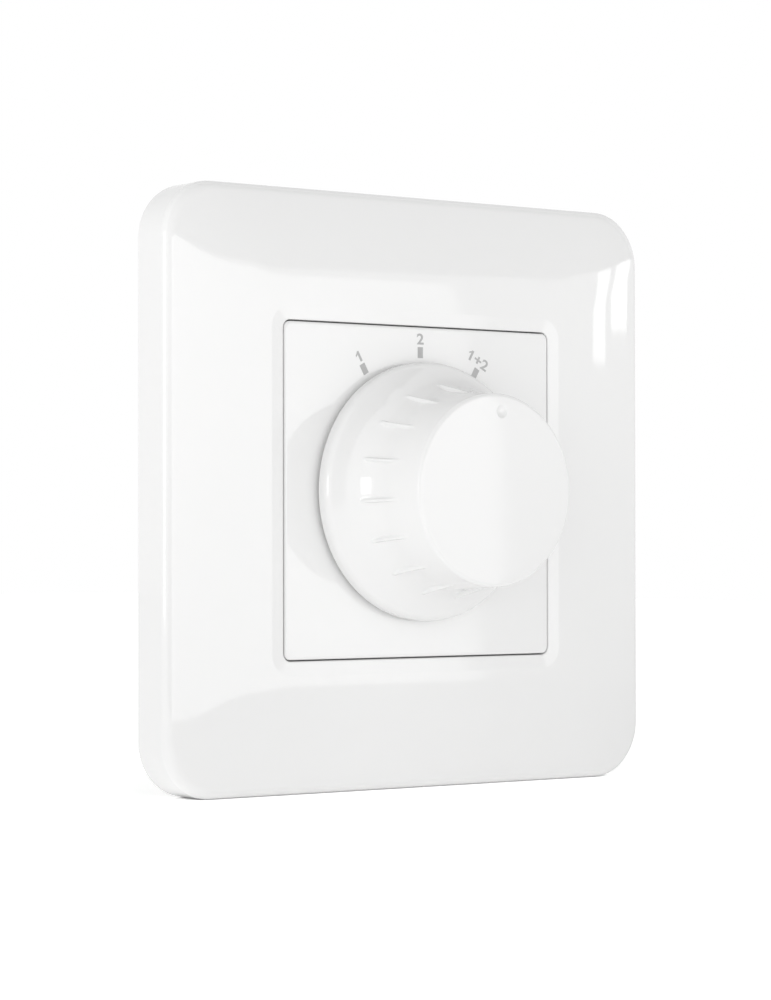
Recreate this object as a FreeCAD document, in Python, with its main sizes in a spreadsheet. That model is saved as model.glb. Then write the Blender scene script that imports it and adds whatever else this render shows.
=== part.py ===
import FreeCAD, Part
import Sketcher
import math
import os
import re

# Speaker selector switch for a flush wall box. X points right, Z up, and the room lies
# towards -Y. The origin is the centre of the wall plane. A height is the distance from the
# wall plane towards the room, so pieces behind the wall have negative heights.

Vector = FreeCAD.Vector
document = FreeCAD.newDocument("speaker_selector_switch")
sizes = document.addObject("Spreadsheet::Sheet", "sizes")

# Driving dimensions, in millimetres and degrees
DIMENSIONS = {
    # Outer frame
    "frame_side": 81,
    "frame_corner": 7.5,
    "frame_height": 7.9,
    "frame_wall": 2.2,
    "frame_roof": 3,
    "frame_edge_drop": 1.1,
    "frame_edge_round": 1.3,
    "shoulder_inset": 4.5,
    "shoulder_drop": 0.5,
    "shoulder_corner": 6.6,
    "crown_inset": 10,
    "crown_drop": 0.13,
    "crown_corner": 4.8,
    "ridge_corner": 3,
    "bevel_width": 1.8,
    "bevel_depth": 0.6,
    "opening_corner": 1.2,
    "lip_width": 2,
    "lip_thickness": 1.3,
    "collar_wall": 2,
    "rib_thickness": 1.2,
    "rib_offset": 18,
    "rib_length": 2.5,
    "rib_gap": 0.3,
    # Centre plate
    "plate_side": 45,
    "plate_corner": 0.9,
    "plate_gap": 0.3,
    "plate_thickness": 2,
    "plate_skirt_wall": 1.3,
    "plate_edge_round": 0.25,
    "plate_boss_wall": 2.3,
    # Support bracket
    "bracket_corner": 4,
    "bracket_thickness": 1,
    "wall_screw_centres": 60,
    "wall_slot_length": 8,
    "wall_slot_width": 4,
    "bracket_hole_gap": 0.2,
    # Switch front, bush and its nuts
    "switch_side": 26,
    "switch_corner": 2,
    "switch_plate": 1.8,
    "bush_radius": 5,
    "bush_stand": 0.5,
    "locator_radius": 1,
    "locator_offset": 9,
    "washer_radius": 8,
    "washer_thickness": 0.5,
    "nut_across_flats": 14,
    "nut_thickness": 2,
    "thread_gap": 0.05,
    # Shaft
    "shaft_radius": 3,
    "shaft_gap": 0.05,
    "shaft_reach": 10.9,
    "shaft_flat": 1.5,
    "shaft_flat_length": 9.6,
    "shaft_chamfer": 0.4,
    "ring_gap": 0.2,
    "ring_thickness": 0.5,
    "ring_radius": 4.3,
    "ring_mouth": 3,
    "groove_depth": 0.5,
    "groove_gap": 0.03,
    "flange_radius": 4.3,
    "flange_thickness": 0.8,
    "drive_radius": 2.5,
    "drive_flat": 1.75,
    "journal_radius": 1.5,
    "journal_length": 2,
    "end_gap": 0.2,
    # Knob
    "knob_clearance": 0.87,
    "knob_height": 15.7,
    "knob_rim_radius": 17.6,
    "knob_rim_height": 1,
    "knob_rim_round": 1.8,
    "knob_flare": 9,
    "knob_neck_radius": 13.3,
    "knob_neck_height": 9.6,
    "knob_face_radius": 12.85,
    "knob_face_round": 0.5,
    "knob_wall": 1.7,
    "knob_boss_radius": 4.75,
    "knob_seat_gap": 0.5,
    "knob_bore_gap": 0.03,
    "pointer_angle": 5.5,
    "pointer_offset": 10.5,
    "pointer_radius": 0.9,
    "pointer_depth": 0.35,
    "fin_count": 16,
    "fin_thickness": 0.5,
    "fin_start_radius": 14.55,
    "fin_start_height": 5.1,
    "fin_end_radius": 13.22,
    "fin_end_height": 11,
    "fin_root": 0.8,
    "spring_band": 0.4,
    "spring_width": 4,
    "spring_mouth": 3,
    # Index mechanism
    "knob_throw": 30,
    "index_depth": 4.5,
    "wheel_radius": 7.5,
    "wheel_gap": 0.5,
    "notch_radius": 1.3,
    "notch_centre": 8,
    "stop_radius": 9.2,
    "stop_half_angle": 14,
    "stop_gap_angle": 2,
    "spring_leaf": 0.35,
    "spring_height": 9.4,
    "spring_reach": 9,
    "spring_pocket": 0.8,
    "nose_radius": 1.1,
    # Rotor, contacts and switch base
    "base_depth": 5.1,
    "base_wall": 1.5,
    "rotor_radius": 9.3,
    "rotor_gap": 0.4,
    "rotor_disc": 2,
    "rotor_hub_radius": 4,
    "drive_gap": 0.03,
    "track_inner": 5.2,
    "track_step": 7,
    "track_outer": 8.7,
    "track_thickness": 0.4,
    "contact_radius": 0.9,
    "contact_head": 0.5,
    "contact_pin": 0.6,
    "common_offset": 6.1,
    "output_offset": 7.85,
    "pin_gap": 0.05,
    "clamp_screw_offset": 10.6,
    "switch_screw_radius": 1,
    "switch_head_radius": 1.9,
    "switch_head_height": 1.3,
    # Circuit board and terminals
    "board_edge_gap": 0.5,
    "board_boss_gap": 0.3,
    "board_thickness": 1.6,
    "board_gap": 0.5,
    "solder_length": 0.7,
    "pole_count": 4,
    "pole_pitch": 5,
    "block_depth": 9,
    "block_spacing": 1,
    "block_edge_gap": 0.9,
    "block_floor": 1.5,
    "cage_width": 3.2,
    "cage_depth": 4.8,
    "cage_rear_wall": 2,
    "cage_wall": 0.5,
    "cage_gap": 0.12,
    "cage_front_gap": 1,
    "cage_back_gap": 0.3,
    "terminal_pin": 0.5,
    "terminal_screw_radius": 0.95,
    "terminal_head_radius": 1.6,
    "terminal_head_height": 1.5,
    "terminal_screw_length": 2.3,
    "terminal_slot": 0.5,
    "terminal_well_gap": 0.15,
    # Rear housing
    "housing_side": 42,
    "housing_corner": 8,
    "housing_wall": 1.5,
    "housing_end_gap": 0.3,
    "wire_hole_radius": 1.8,
    "tool_hole_radius": 1.7,
    "boss_inset": 5.2,
    "boss_radius": 2.4,
    "housing_screw_radius": 1.25,
    "housing_screw_length": 9,
    "housing_head_radius": 2.2,
    "housing_head_height": 1.3,
}
for row, (alias, number) in enumerate(DIMENSIONS.items(), start=1):
    sizes.set(f"A{row}", alias)
    sizes.set(f"B{row}", str(number))
    sizes.setAlias(f"B{row}", alias)
document.recompute()

# Heights that several pieces share, written from the driving dimensions
ROOF = "(frame_height - frame_roof)"
NUT_SEAT = "(bracket_thickness + washer_thickness)"
BUSH_FRONT = "(frame_height + nut_thickness + bush_stand)"
INDEX_FRONT = "(0 - switch_plate)"
BASE_FRONT = f"({INDEX_FRONT} - index_depth)"
BASE_BACK = f"({BASE_FRONT} - base_depth)"
BOARD_FRONT = f"({BASE_BACK} - board_gap)"
BOARD_BACK = f"({BOARD_FRONT} - board_thickness)"
BLOCK_BACK = f"({BOARD_BACK} - block_depth)"
HOUSING_BACK = f"({BLOCK_BACK} - housing_end_gap - housing_wall)"
RING_BACK = f"({BUSH_FRONT} + ring_gap)"
RING_FRONT = f"({RING_BACK} + ring_thickness)"
FLANGE_FRONT = f"({INDEX_FRONT} - end_gap)"
FLANGE_BACK = f"({FLANGE_FRONT} - flange_thickness)"
WHEEL_FRONT = f"({FLANGE_BACK} - end_gap)"
WHEEL_BACK = f"({BASE_FRONT} + wheel_gap)"
ROTOR_FRONT = f"({BASE_FRONT} - rotor_gap)"
ROTOR_BACK = f"({ROTOR_FRONT} - rotor_disc)"
TRACK_BACK = f"({ROTOR_BACK} - track_thickness)"
CONTACT_BACK = f"({TRACK_BACK} - contact_head)"
KNOB_RIM = "(frame_height + knob_clearance)"
KNOB_FACE = f"({KNOB_RIM} + knob_height)"
SHAFT_FRONT = f"({BUSH_FRONT} + shaft_reach)"
BOSS_START = f"({RING_FRONT} + knob_seat_gap)"
CAVITY_TOP = f"({SHAFT_FRONT} + knob_seat_gap)"
CAGE_FRONT = f"({BOARD_BACK} - block_floor - cage_front_gap)"
CAGE_BACK = f"({CAGE_FRONT} - cage_depth)"

# Places across the part that several pieces share, as distances from the shaft's axis
RIB_INNER = "(frame_side / 2 - frame_wall - rib_length)"
HOUSING_INNER = "(housing_side / 2 - housing_wall)"
BOSS_OFFSET = "(housing_side / 2 - boss_inset)"
BLOCK_HALF = "(pole_pitch * pole_count / 2)"
BLOCK_INNER = f"({BLOCK_HALF} + block_spacing)"
BLOCK_OUTER = f"({HOUSING_INNER} - block_edge_gap)"
CAGE_INNER = f"({BLOCK_INNER} + cage_rear_wall)"
CAGE_OUTER = f"({BLOCK_OUTER} - cage_front_gap)"
TERMINAL_LINE = f"(({CAGE_INNER} + {CAGE_OUTER}) / 2)"
POLE_START = "(pole_pitch * (pole_count - 1) / 2)"


# Helpers for bound sizes, sketches and features
def bound(expression):
    """The expression with every size name pointing at its cell of the sheet."""
    return re.sub(r"[a-z]+(?:_[a-z]+)+", lambda name: "sizes." + name.group(), expression)


def value(expression):
    """The number that an expression of sizes comes to."""
    number = sizes.evalExpression(bound(expression))
    return float(getattr(number, "Value", number))


def new_body(label):
    body = document.addObject("PartDesign::Body", label)
    body.Label = label
    return body


def new_sketch(body, name, height="0", plane="XZ_Plane"):
    """A sketch on an origin plane of the body, moved along the plane's normal."""
    sketch = body.newObject("Sketcher::SketchObject", f"{body.Label}_{name}")
    sketch.AttachmentSupport = [(origin_item(body, plane), "")]
    sketch.MapMode = "FlatFace"
    sketch.setExpression("AttachmentOffset.Base.z", bound(height))
    return sketch


def fix(sketch, kind, geometry, point, expression):
    """Hold one coordinate of a sketch point at the value of an expression."""
    number = value(expression)
    index = sketch.addConstraint(Sketcher.Constraint(kind, -1, 1, geometry, point, number))
    sketch.setExpression(f"Constraints[{index}]", bound(expression))


def draw_circle(sketch, radius, x="0", z="0"):
    centre = Vector(value(x), value(z), 0)
    geometry = sketch.addGeometry(Part.Circle(centre, Vector(0, 0, 1), value(radius)))
    index = sketch.addConstraint(Sketcher.Constraint("Radius", geometry, value(radius)))
    sketch.setExpression(f"Constraints[{index}]", bound(radius))
    fix(sketch, "DistanceX", geometry, 3, x)
    fix(sketch, "DistanceY", geometry, 3, z)


def draw_outline(sketch, points, arcs=None):
    """A closed outline. Each point is a pair of expressions. arcs gives the side that starts
    at a point a radius instead of a straight line: positive bulges to the right of the way
    along the outline, negative to the left."""
    arcs = arcs or {}
    places = [Vector(value(x), value(z), 0) for x, z in points]
    ends = []
    for number, start in enumerate(places):
        finish = places[(number + 1) % len(places)]
        if number not in arcs:
            geometry = sketch.addGeometry(Part.LineSegment(start, finish))
            ends.append((geometry, 1, 2))
            continue
        side, radius = arcs[number]
        along = finish - start
        reach = value(radius)
        rise = reach - math.sqrt(max(reach ** 2 - along.Length ** 2 / 4, 0))
        outward = Vector(along.y, -along.x, 0).normalize() * (rise * side)
        curve = Part.Arc(start, (start + finish) / 2 + outward, finish)
        geometry = sketch.addGeometry(curve)
        first = 1 if (sketch.getPoint(geometry, 1) - start).Length < 1e-6 else 2
        ends.append((geometry, first, 3 - first))
        index = sketch.addConstraint(Sketcher.Constraint("Radius", geometry, reach))
        sketch.setExpression(f"Constraints[{index}]", bound(radius))
    for number, (geometry, first, last) in enumerate(ends):
        following, begin, _ = ends[(number + 1) % len(ends)]
        sketch.addConstraint(Sketcher.Constraint("Coincident", geometry, last, following, begin))
        fix(sketch, "DistanceX", geometry, first, points[number][0])
        fix(sketch, "DistanceY", geometry, first, points[number][1])


def draw_rectangle(sketch, left, right, low, high):
    draw_outline(sketch, [(left, low), (right, low), (right, high), (left, high)])


def draw_square(sketch, half, corner):
    """A square about the origin with rounded corners."""
    flat = f"({half} - {corner})"
    places = [
        (flat, f"-({half})"), (half, f"-{flat}"),
        (half, flat), (flat, half),
        (f"-{flat}", half), (f"-({half})", flat),
        (f"-({half})", f"-{flat}"), (f"-{flat}", f"-({half})"),
    ]
    draw_outline(sketch, places, {number: (1, corner) for number in (0, 2, 4, 6)})


def draw_sector(sketch, inner, outer, start, end):
    """A ring sector between two angles, counted clockwise from the top."""
    places = [
        (f"{inner} * sin({start})", f"{inner} * cos({start})"),
        (f"{outer} * sin({start})", f"{outer} * cos({start})"),
        (f"{outer} * sin({end})", f"{outer} * cos({end})"),
        (f"{inner} * sin({end})", f"{inner} * cos({end})"),
    ]
    draw_outline(sketch, places, {1: (-1, outer), 3: (1, inner)})


def draw_drive(sketch, gap="0"):
    """The shaft's round drive section with its two flats."""
    radius = f"(drive_radius + {gap})"
    flat = f"(drive_flat + {gap})"
    reach = f"sqrt({radius}^2 - {flat}^2)"
    places = [(reach, f"-{flat}"), (reach, flat), (f"-{reach}", flat), (f"-{reach}", f"-{flat}")]
    draw_outline(sketch, places, {0: (1, radius), 2: (1, radius)})


def extrude(kind, sketch, length, name, back=False):
    """A pad grows towards the room and a pocket cuts away from it, unless back is set."""
    body = sketch.getParentGeoFeatureGroup()
    feature = body.newObject(f"PartDesign::{kind}", f"{body.Label}_{name}")
    feature.Profile = sketch
    feature.setExpression("Length", bound(length))
    feature.Reversed = back
    document.recompute()
    return feature


def pad(sketch, length, name, back=False):
    return extrude("Pad", sketch, length, name, back)


def pocket(sketch, length, name, back=False):
    before = sketch.getParentGeoFeatureGroup().Shape.Volume
    feature = extrude("Pocket", sketch, length, name, back)
    if feature.Shape.Volume > before - 1e-6:
        raise ValueError(f"{feature.Label} cuts nothing")
    return feature


def disc(body, name, radius, low, high, x="0", z="0"):
    """A round pad between two heights."""
    sketch = new_sketch(body, f"{name}_sketch", low)
    draw_circle(sketch, radius, x, z)
    return pad(sketch, f"{high} - {low}", name)


def drill(body, name, radius, low, high, x="0", z="0"):
    """A round hole between two heights."""
    sketch = new_sketch(body, f"{name}_sketch", high)
    draw_circle(sketch, radius, x, z)
    return pocket(sketch, f"{high} - {low}", name)


def revolve(body, name, profile, arcs=None):
    """A turned piece from (radius, height) points, about the Y axis."""
    sketch = new_sketch(body, f"{name}_sketch", "0", "XY_Plane")
    draw_outline(sketch, [(radius, f"-({height})") for radius, height in profile], arcs)
    feature = body.newObject("PartDesign::Revolution", f"{body.Label}_{name}")
    feature.Profile = sketch
    feature.ReferenceAxis = (sketch, ["V_Axis"])
    feature.Angle = 360
    document.recompute()
    return feature


def origin_item(body, role):
    """One of the body's own origin planes or axes."""
    return next(item for item in body.Origin.OriginFeatures if item.Role == role)


def repeat(body, name, features, steps):
    """Repeat features by one or more patterns. A step is ("Polar", count, angle) about the Y
    axis, clockwise from the front, or ("Linear", count, length) along X."""
    patterns = []
    for number, (kind, count, extent) in enumerate(steps):
        label = f"{body.Label}_{name}_{kind.lower()}_{number}"
        pattern = body.newObject(f"PartDesign::{kind}Pattern", label)
        if kind == "Polar":
            pattern.Axis = (origin_item(body, "Y_Axis"), [""])
            pattern.setExpression("Angle", bound(extent))
        else:
            pattern.Direction = (origin_item(body, "X_Axis"), [""])
            pattern.setExpression("Length", bound(extent))
        pattern.setExpression("Occurrences", bound(count))
        patterns.append(pattern)
    if len(patterns) == 1:
        patterns[0].Originals = features
        result = patterns[0]
    else:
        result = body.newObject("PartDesign::MultiTransform", f"{body.Label}_{name}")
        result.Originals = features
        result.Transformations = patterns
    body.Tip = result
    document.recompute()
    return result


def round_edges(body, name, radius, wanted):
    """Round the edges of the body's last feature that wanted(edge) picks."""
    base = body.Tip
    names = [f"Edge{number}" for number, edge in enumerate(base.Shape.Edges, start=1) if wanted(edge)]
    feature = body.newObject("PartDesign::Fillet", f"{body.Label}_{name}")
    feature.Base = (base, names)
    feature.setExpression("Radius", bound(radius))
    document.recompute()
    return feature


def at_height(edge, height):
    """True where the whole edge lies at one height."""
    box = edge.BoundBox
    return abs(box.YMin + height) < 1e-3 and abs(box.YMax + height) < 1e-3


# Outer frame: domed cover frame, open at the back, with a lip under the centre plate
frame = new_body("outer_frame")
frame_half = "frame_side / 2"
opening_half = "(plate_side / 2 + plate_gap)"
ridge_half = f"({opening_half} + bevel_width)"
frame_edge_height = "(frame_height - frame_edge_drop)"
frame_base = new_sketch(frame, "base")
draw_square(frame_base, frame_half, "frame_corner")
pad(frame_base, frame_edge_height, "wall")
dome_steps = [
    (frame_half, "frame_corner", frame_edge_height),
    ("(frame_side / 2 - shoulder_inset)", "shoulder_corner", "frame_height - shoulder_drop"),
    ("(frame_side / 2 - crown_inset)", "crown_corner", "frame_height - crown_drop"),
    (ridge_half, "ridge_corner", "frame_height"),
]
dome_sketches = []
for number, (half, corner, height) in enumerate(dome_steps):
    section = new_sketch(frame, f"dome_section_{number}", height)
    draw_square(section, half, corner)
    dome_sketches.append(section)
document.recompute()
dome = frame.newObject("PartDesign::AdditiveLoft", "outer_frame_dome")
dome.Profile = dome_sketches[0]
dome.Sections = dome_sketches[1:]
document.recompute()
round_edges(
    frame, "edge_round", "frame_edge_round",
    lambda edge: at_height(edge, value(frame_edge_height)),
)
bevel_sketches = []
for number, (half, corner, height) in enumerate([
    (ridge_half, "ridge_corner", "frame_height"),
    (opening_half, "opening_corner", "frame_height - bevel_depth"),
]):
    section = new_sketch(frame, f"bevel_section_{number}", height)
    draw_square(section, half, corner)
    bevel_sketches.append(section)
document.recompute()
bevel = frame.newObject("PartDesign::SubtractiveLoft", "outer_frame_bevel")
bevel.Profile = bevel_sketches[0]
bevel.Sections = bevel_sketches[1:]
bevel.Ruled = True
document.recompute()
opening = new_sketch(frame, "opening", "frame_height")
draw_square(opening, opening_half, "opening_corner")
pocket(opening, f"frame_height - {ROOF}", "seat")
mouth = new_sketch(frame, "mouth", "frame_height")
draw_square(mouth, f"({opening_half} - lip_width)", "opening_corner")
pocket(mouth, "frame_height", "mouth_cut")
hollow = new_sketch(frame, "hollow")
draw_square(hollow, f"({frame_half} - frame_wall)", "(frame_corner - frame_wall)")
pocket(hollow, f"{ROOF} - lip_thickness", "hollow_cut", back=True)
gutter = new_sketch(frame, "gutter", f"{ROOF} - lip_thickness")
draw_square(gutter, f"({frame_half} - frame_wall)", "(frame_corner - frame_wall)")
draw_square(gutter, f"({opening_half} + collar_wall)", "ridge_corner")
pocket(gutter, "lip_thickness", "gutter_cut", back=True)
rib = new_sketch(frame, "rib")
rib_outer = f"({frame_half} - frame_wall / 2)"
for side in ("", "-"):
    draw_rectangle(rib, f"{side}rib_offset - rib_thickness / 2", f"{side}rib_offset + rib_thickness / 2",
                   RIB_INNER, rib_outer)
ribs = pad(rib, ROOF, "rib_pad")
repeat(frame, "ribs", [ribs], [("Polar", "4", "360")])

# Centre plate: carries the position marks and holds the frame down by its skirt
plate = new_body("centre_plate")
plate_half = "plate_side / 2"
plate_outline = new_sketch(plate, "outline", ROOF)
draw_square(plate_outline, plate_half, "plate_corner")
pad(plate_outline, f"frame_height - {ROOF}", "slab")
round_edges(
    plate, "edge_round", "plate_edge_round",
    lambda edge: at_height(edge, value("frame_height")),
)
bush_hole = "(bush_radius + bracket_hole_gap)"
plate_recess = new_sketch(plate, "recess", ROOF)
draw_square(plate_recess, f"({plate_half} - plate_skirt_wall)", "plate_corner")
pocket(plate_recess, "frame_roof - plate_thickness", "recess_cut", back=True)
disc(plate, "boss", f"{bush_hole} + plate_boss_wall", f"({NUT_SEAT} + nut_thickness)",
     "(frame_height - plate_thickness)")
drill(plate, "bush_hole", bush_hole, NUT_SEAT, "frame_height")

# Support bracket: flat steel plate that the wall box's screws hold
bracket = new_body("support_bracket")
bracket_outline = new_sketch(bracket, "outline")
draw_square(bracket_outline, f"({RIB_INNER} - rib_gap)", "bracket_corner")
pad(bracket_outline, "bracket_thickness", "sheet")
drill(bracket, "bush_hole", bush_hole, "0", "bracket_thickness")
drill(bracket, "locator_hole", "locator_radius + thread_gap", "0", "bracket_thickness",
      "-locator_offset")
slot = new_sketch(bracket, "slot", "bracket_thickness")
slot_near = "(wall_screw_centres / 2 - wall_slot_length / 2 + wall_slot_width / 2)"
slot_far = "(wall_screw_centres / 2 + wall_slot_length / 2 - wall_slot_width / 2)"
draw_rectangle(slot, slot_near, slot_far, "-wall_slot_width / 2", "wall_slot_width / 2")
slot_cuts = [
    drill(bracket, "slot_near_end", "wall_slot_width / 2", "0", "bracket_thickness", slot_near),
    drill(bracket, "slot_far_end", "wall_slot_width / 2", "0", "bracket_thickness", slot_far),
    pocket(slot, "bracket_thickness", "slot_cut"),
]
repeat(bracket, "slots", slot_cuts, [("Polar", "2", "360")])
bracket_screw_hole = drill(bracket, "housing_hole", "housing_screw_radius + thread_gap", "0",
                           "bracket_thickness", BOSS_OFFSET, BOSS_OFFSET)
repeat(bracket, "housing_holes", [bracket_screw_hole], [("Polar", "4", "360")])

# Switch front: die-cast plate and threaded bush in one piece, with an anti-turn lug
front = new_body("switch_bush")
front_outline = new_sketch(front, "outline", INDEX_FRONT)
draw_square(front_outline, "switch_side / 2", "switch_corner")
pad(front_outline, "switch_plate", "flange")
disc(front, "bush", "bush_radius", "0", BUSH_FRONT)
disc(front, "locator", "locator_radius", "0", "bracket_thickness", "-locator_offset")
drill(front, "bore", "shaft_radius + shaft_gap", INDEX_FRONT, BUSH_FRONT)
tapped = drill(front, "tapped_hole", "switch_screw_radius + thread_gap", INDEX_FRONT, "0",
               "clamp_screw_offset", "clamp_screw_offset")
repeat(front, "tapped_holes", [tapped], [("Polar", "2", "360")])

# Lock washer under the first bush nut
washer = new_body("lock_washer")
disc(washer, "ring", "washer_radius", "bracket_thickness", NUT_SEAT)
drill(washer, "hole", bush_hole, "bracket_thickness", NUT_SEAT)

# Bush nuts: one holds the switch on the bracket, one the centre plate on the bush
nuts = new_body("bush_nuts")
nut_corner = "(nut_across_flats / 2 / cos(30))"
hexagon = [(f"{nut_corner} * sin({60 * corner})", f"{nut_corner} * cos({60 * corner})")
           for corner in range(6)]
for name, seat in (("inner_nut", NUT_SEAT), ("outer_nut", "frame_height")):
    nut_outline = new_sketch(nuts, name, seat)
    draw_outline(nut_outline, hexagon)
    draw_circle(nut_outline, "bush_radius + thread_gap")
    pad(nut_outline, "nut_thickness", f"{name}_pad")

# Shaft: turned steel, flat for the knob, ring groove, flange, drive flats and rear journal
shaft = new_body("shaft")
groove_radius = "(shaft_radius - groove_depth)"
groove_back = f"({RING_BACK} - groove_gap)"
groove_front = f"({RING_FRONT} + groove_gap)"
drive_back = f"({TRACK_BACK} + end_gap)"
journal_back = f"({drive_back} - journal_length)"
revolve(shaft, "turned", [
    ("0", SHAFT_FRONT),
    ("shaft_radius - shaft_chamfer", SHAFT_FRONT),
    ("shaft_radius", f"{SHAFT_FRONT} - shaft_chamfer"),
    ("shaft_radius", groove_front),
    (groove_radius, groove_front),
    (groove_radius, groove_back),
    ("shaft_radius", groove_back),
    ("shaft_radius", FLANGE_FRONT),
    ("flange_radius", FLANGE_FRONT),
    ("flange_radius", FLANGE_BACK),
    ("drive_radius", FLANGE_BACK),
    ("drive_radius", drive_back),
    ("journal_radius", drive_back),
    ("journal_radius", journal_back),
    ("0", journal_back),
])
knob_flat = new_sketch(shaft, "knob_flat", SHAFT_FRONT)
draw_rectangle(knob_flat, "-shaft_radius", "shaft_radius", "shaft_flat", "shaft_radius * 2")
pocket(knob_flat, "shaft_flat_length", "knob_flat_cut")
for name, sign in (("upper_flat", ""), ("lower_flat", "-")):
    drive_cut = new_sketch(shaft, name, FLANGE_BACK)
    draw_rectangle(drive_cut, "-drive_radius", "drive_radius", f"{sign}drive_flat",
                   f"{sign}(drive_radius * 2)")
    pocket(drive_cut, f"{FLANGE_BACK} - {drive_back}", f"{name}_cut")

# Retaining ring: open steel ring in the shaft's groove, in front of the bush
ring = new_body("shaft_ring")
disc(ring, "washer", "ring_radius", RING_BACK, RING_FRONT)
drill(ring, "hole", f"{groove_radius} + groove_gap", RING_BACK, RING_FRONT)
ring_mouth = new_sketch(ring, "mouth", RING_FRONT)
draw_rectangle(ring_mouth, "-ring_mouth / 2", "ring_mouth / 2", "-ring_radius * 2", "0")
pocket(ring_mouth, "ring_thickness", "mouth_cut")

# Knob: moulded shell with a flared rim, fins round the waist, a boss and a pointer dimple
knob = new_body("knob")
rim_centre_radius = "(knob_rim_radius - knob_rim_round)"
flare_centre_radius = "(knob_neck_radius + knob_flare)"
centre_span = "(knob_rim_round + knob_flare)"
centre_step = f"({flare_centre_radius} - {rim_centre_radius})"
centre_rise = f"sqrt({centre_span}^2 - {centre_step}^2)"
neck_height = f"({KNOB_RIM} + knob_neck_height)"
rim_round_height = f"({neck_height} - {centre_rise})"
meet_radius = f"({rim_centre_radius} + knob_rim_round * {centre_step} / {centre_span})"
meet_height = f"({rim_round_height} + knob_rim_round * {centre_rise} / {centre_span})"
revolve(knob, "shell", [
    ("0", KNOB_FACE),
    ("knob_face_radius - knob_face_round", KNOB_FACE),
    ("knob_face_radius", f"{KNOB_FACE} - knob_face_round"),
    ("knob_neck_radius", neck_height),
    (meet_radius, meet_height),
    ("knob_rim_radius", rim_round_height),
    ("knob_rim_radius", KNOB_RIM),
    ("knob_rim_radius - knob_wall", KNOB_RIM),
    ("knob_rim_radius - knob_wall", f"{KNOB_RIM} + knob_rim_height"),
    ("knob_neck_radius - knob_wall", f"{neck_height} - knob_rim_height"),
    ("knob_neck_radius - knob_wall", CAVITY_TOP),
    ("0", CAVITY_TOP),
], {1: (1, "knob_face_round"), 3: (-1, "knob_flare"), 4: (1, "knob_rim_round")})
fin = new_sketch(knob, "fin", "0", "XY_Plane")
fin.AttachmentOffset = FreeCAD.Placement(Vector(), FreeCAD.Rotation(Vector(0, 1, 0), 1))
fin.setExpression("AttachmentOffset.Rotation.Angle", bound("180 / fin_count + pointer_angle"))
fin_low = f"{KNOB_RIM} + fin_start_height"
fin_high = f"{KNOB_RIM} + fin_end_height"
draw_outline(fin, [
    ("fin_start_radius", f"-({fin_low})"),
    ("fin_end_radius", f"-({fin_high})"),
    ("fin_end_radius - fin_root", f"-({fin_high})"),
    ("fin_start_radius - fin_root", f"-({fin_low})"),
])
fin_pad = pad(fin, "fin_thickness", "fin_pad")
fin_pad.Midplane = True
repeat(knob, "fins", [fin_pad], [("Polar", "fin_count", "360")])
disc(knob, "boss", "knob_boss_radius", BOSS_START, CAVITY_TOP)
drill(knob, "bore", "shaft_radius + knob_bore_gap", BOSS_START, CAVITY_TOP)
key_start = f"({SHAFT_FRONT} - shaft_flat_length + knob_seat_gap / 2)"
key = new_sketch(knob, "key", key_start)
draw_rectangle(key, "-shaft_radius", "shaft_radius", "shaft_flat + knob_bore_gap",
               "shaft_radius + knob_bore_gap * 3")
pad(key, f"{CAVITY_TOP} - {key_start}", "key_pad")
ball_radius = "((pointer_radius^2 + pointer_depth^2) / 2 / pointer_depth)"
dimple = knob.newObject("PartDesign::SubtractiveSphere", "knob_dimple")
dimple.AttachmentSupport = [(origin_item(knob, "XZ_Plane"), "")]
dimple.MapMode = "FlatFace"
dimple.setExpression("Radius", bound(ball_radius))
dimple.setExpression("AttachmentOffset.Base.x", bound("pointer_offset * sin(pointer_angle)"))
dimple.setExpression("AttachmentOffset.Base.y", bound("pointer_offset * cos(pointer_angle)"))
dimple.setExpression("AttachmentOffset.Base.z", bound(f"{KNOB_FACE} + {ball_radius} - pointer_depth"))
document.recompute()

# Knob spring: open steel band that squeezes the knob's boss on the shaft
spring = new_body("knob_spring")
band_inner = "(knob_boss_radius + knob_bore_gap)"
band_outer = f"({band_inner} + spring_band)"
band_low = f"({BOSS_START} + knob_seat_gap)"
band_high = f"({band_low} + spring_width)"
disc(spring, "band", band_outer, band_low, band_high)
drill(spring, "hole", band_inner, band_low, band_high)
band_mouth = new_sketch(spring, "mouth", band_high)
draw_rectangle(band_mouth, "-spring_mouth / 2", "spring_mouth / 2", "-knob_boss_radius * 2", "0")
pocket(band_mouth, "spring_width", "mouth_cut")

# Index wheel: three notches for the spring's nose and a lug that meets the stops
wheel = new_body("index_wheel")
wheel_depth = f"({WHEEL_FRONT} - {WHEEL_BACK})"
disc(wheel, "disc", "wheel_radius", WHEEL_BACK, WHEEL_FRONT)
lug = new_sketch(wheel, "lug", WHEEL_BACK)
draw_sector(lug, "(wheel_radius - stop_gap_angle / 2)", "stop_radius", "(180 - stop_half_angle)",
            "(180 + stop_half_angle)")
pad(lug, wheel_depth, "lug_pad")
for name, angle in (("first", "-knob_throw"), ("middle", "0"), ("last", "knob_throw")):
    drill(wheel, f"{name}_notch", "notch_radius", WHEEL_BACK, WHEEL_FRONT,
          f"notch_centre * sin({angle})", f"notch_centre * cos({angle})")
wheel_bore = new_sketch(wheel, "bore", WHEEL_FRONT)
draw_drive(wheel_bore, "drive_gap")
pocket(wheel_bore, wheel_depth, "bore_cut")

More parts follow.
